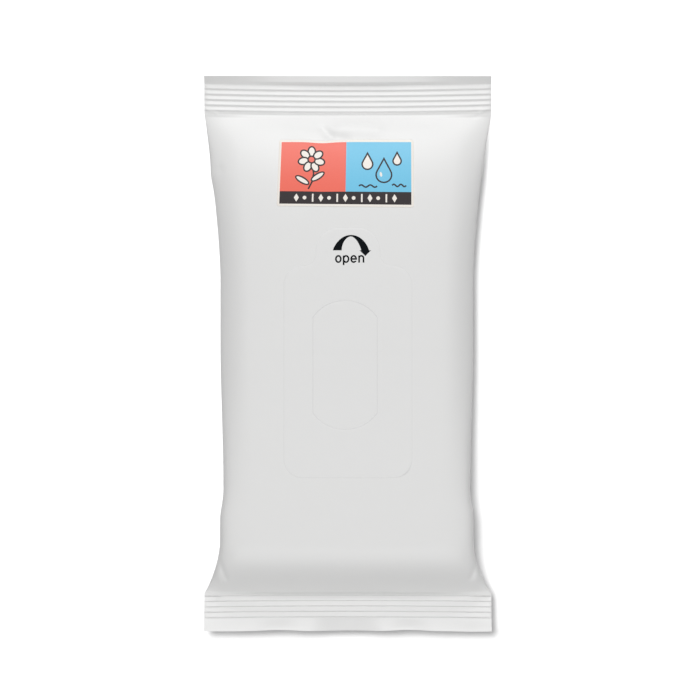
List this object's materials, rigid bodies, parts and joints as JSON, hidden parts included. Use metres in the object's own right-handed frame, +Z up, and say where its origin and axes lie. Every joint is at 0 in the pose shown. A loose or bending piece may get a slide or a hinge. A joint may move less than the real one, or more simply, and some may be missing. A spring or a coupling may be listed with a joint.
{
  "type": "wet wipes pack",
  "caption": "Sealed flow-wrap pack of wet wipes lying on its back, with ribbed end seals, a peel-back reseal label with a pull tab over its die-cut opening, and a front sticker.",
  "frame": {"origin": "on the table, under the middle of the pack as it lies on its back", "axes": "+X to the pack's right as its front is read, +Y towards its top end, +Z up, out of its front"},
  "size_m": [0.07, 0.135, 0.0138],
  "materials": {
    "white_film": "matte white packaging film with a soft sheen",
    "white_label": "satin white label film, printed with a curved arrow and the word open",
    "sticker": "printed paper: off-white border, a coral and a sky-blue field, and a dark strip below them"
  },
  "bodies": {
    "root": {"film_pack": "white_film", "opening_panel": "white_film", "reseal_label": "white_label", "front_sticker": "sticker"}
  },
  "joints": []
}
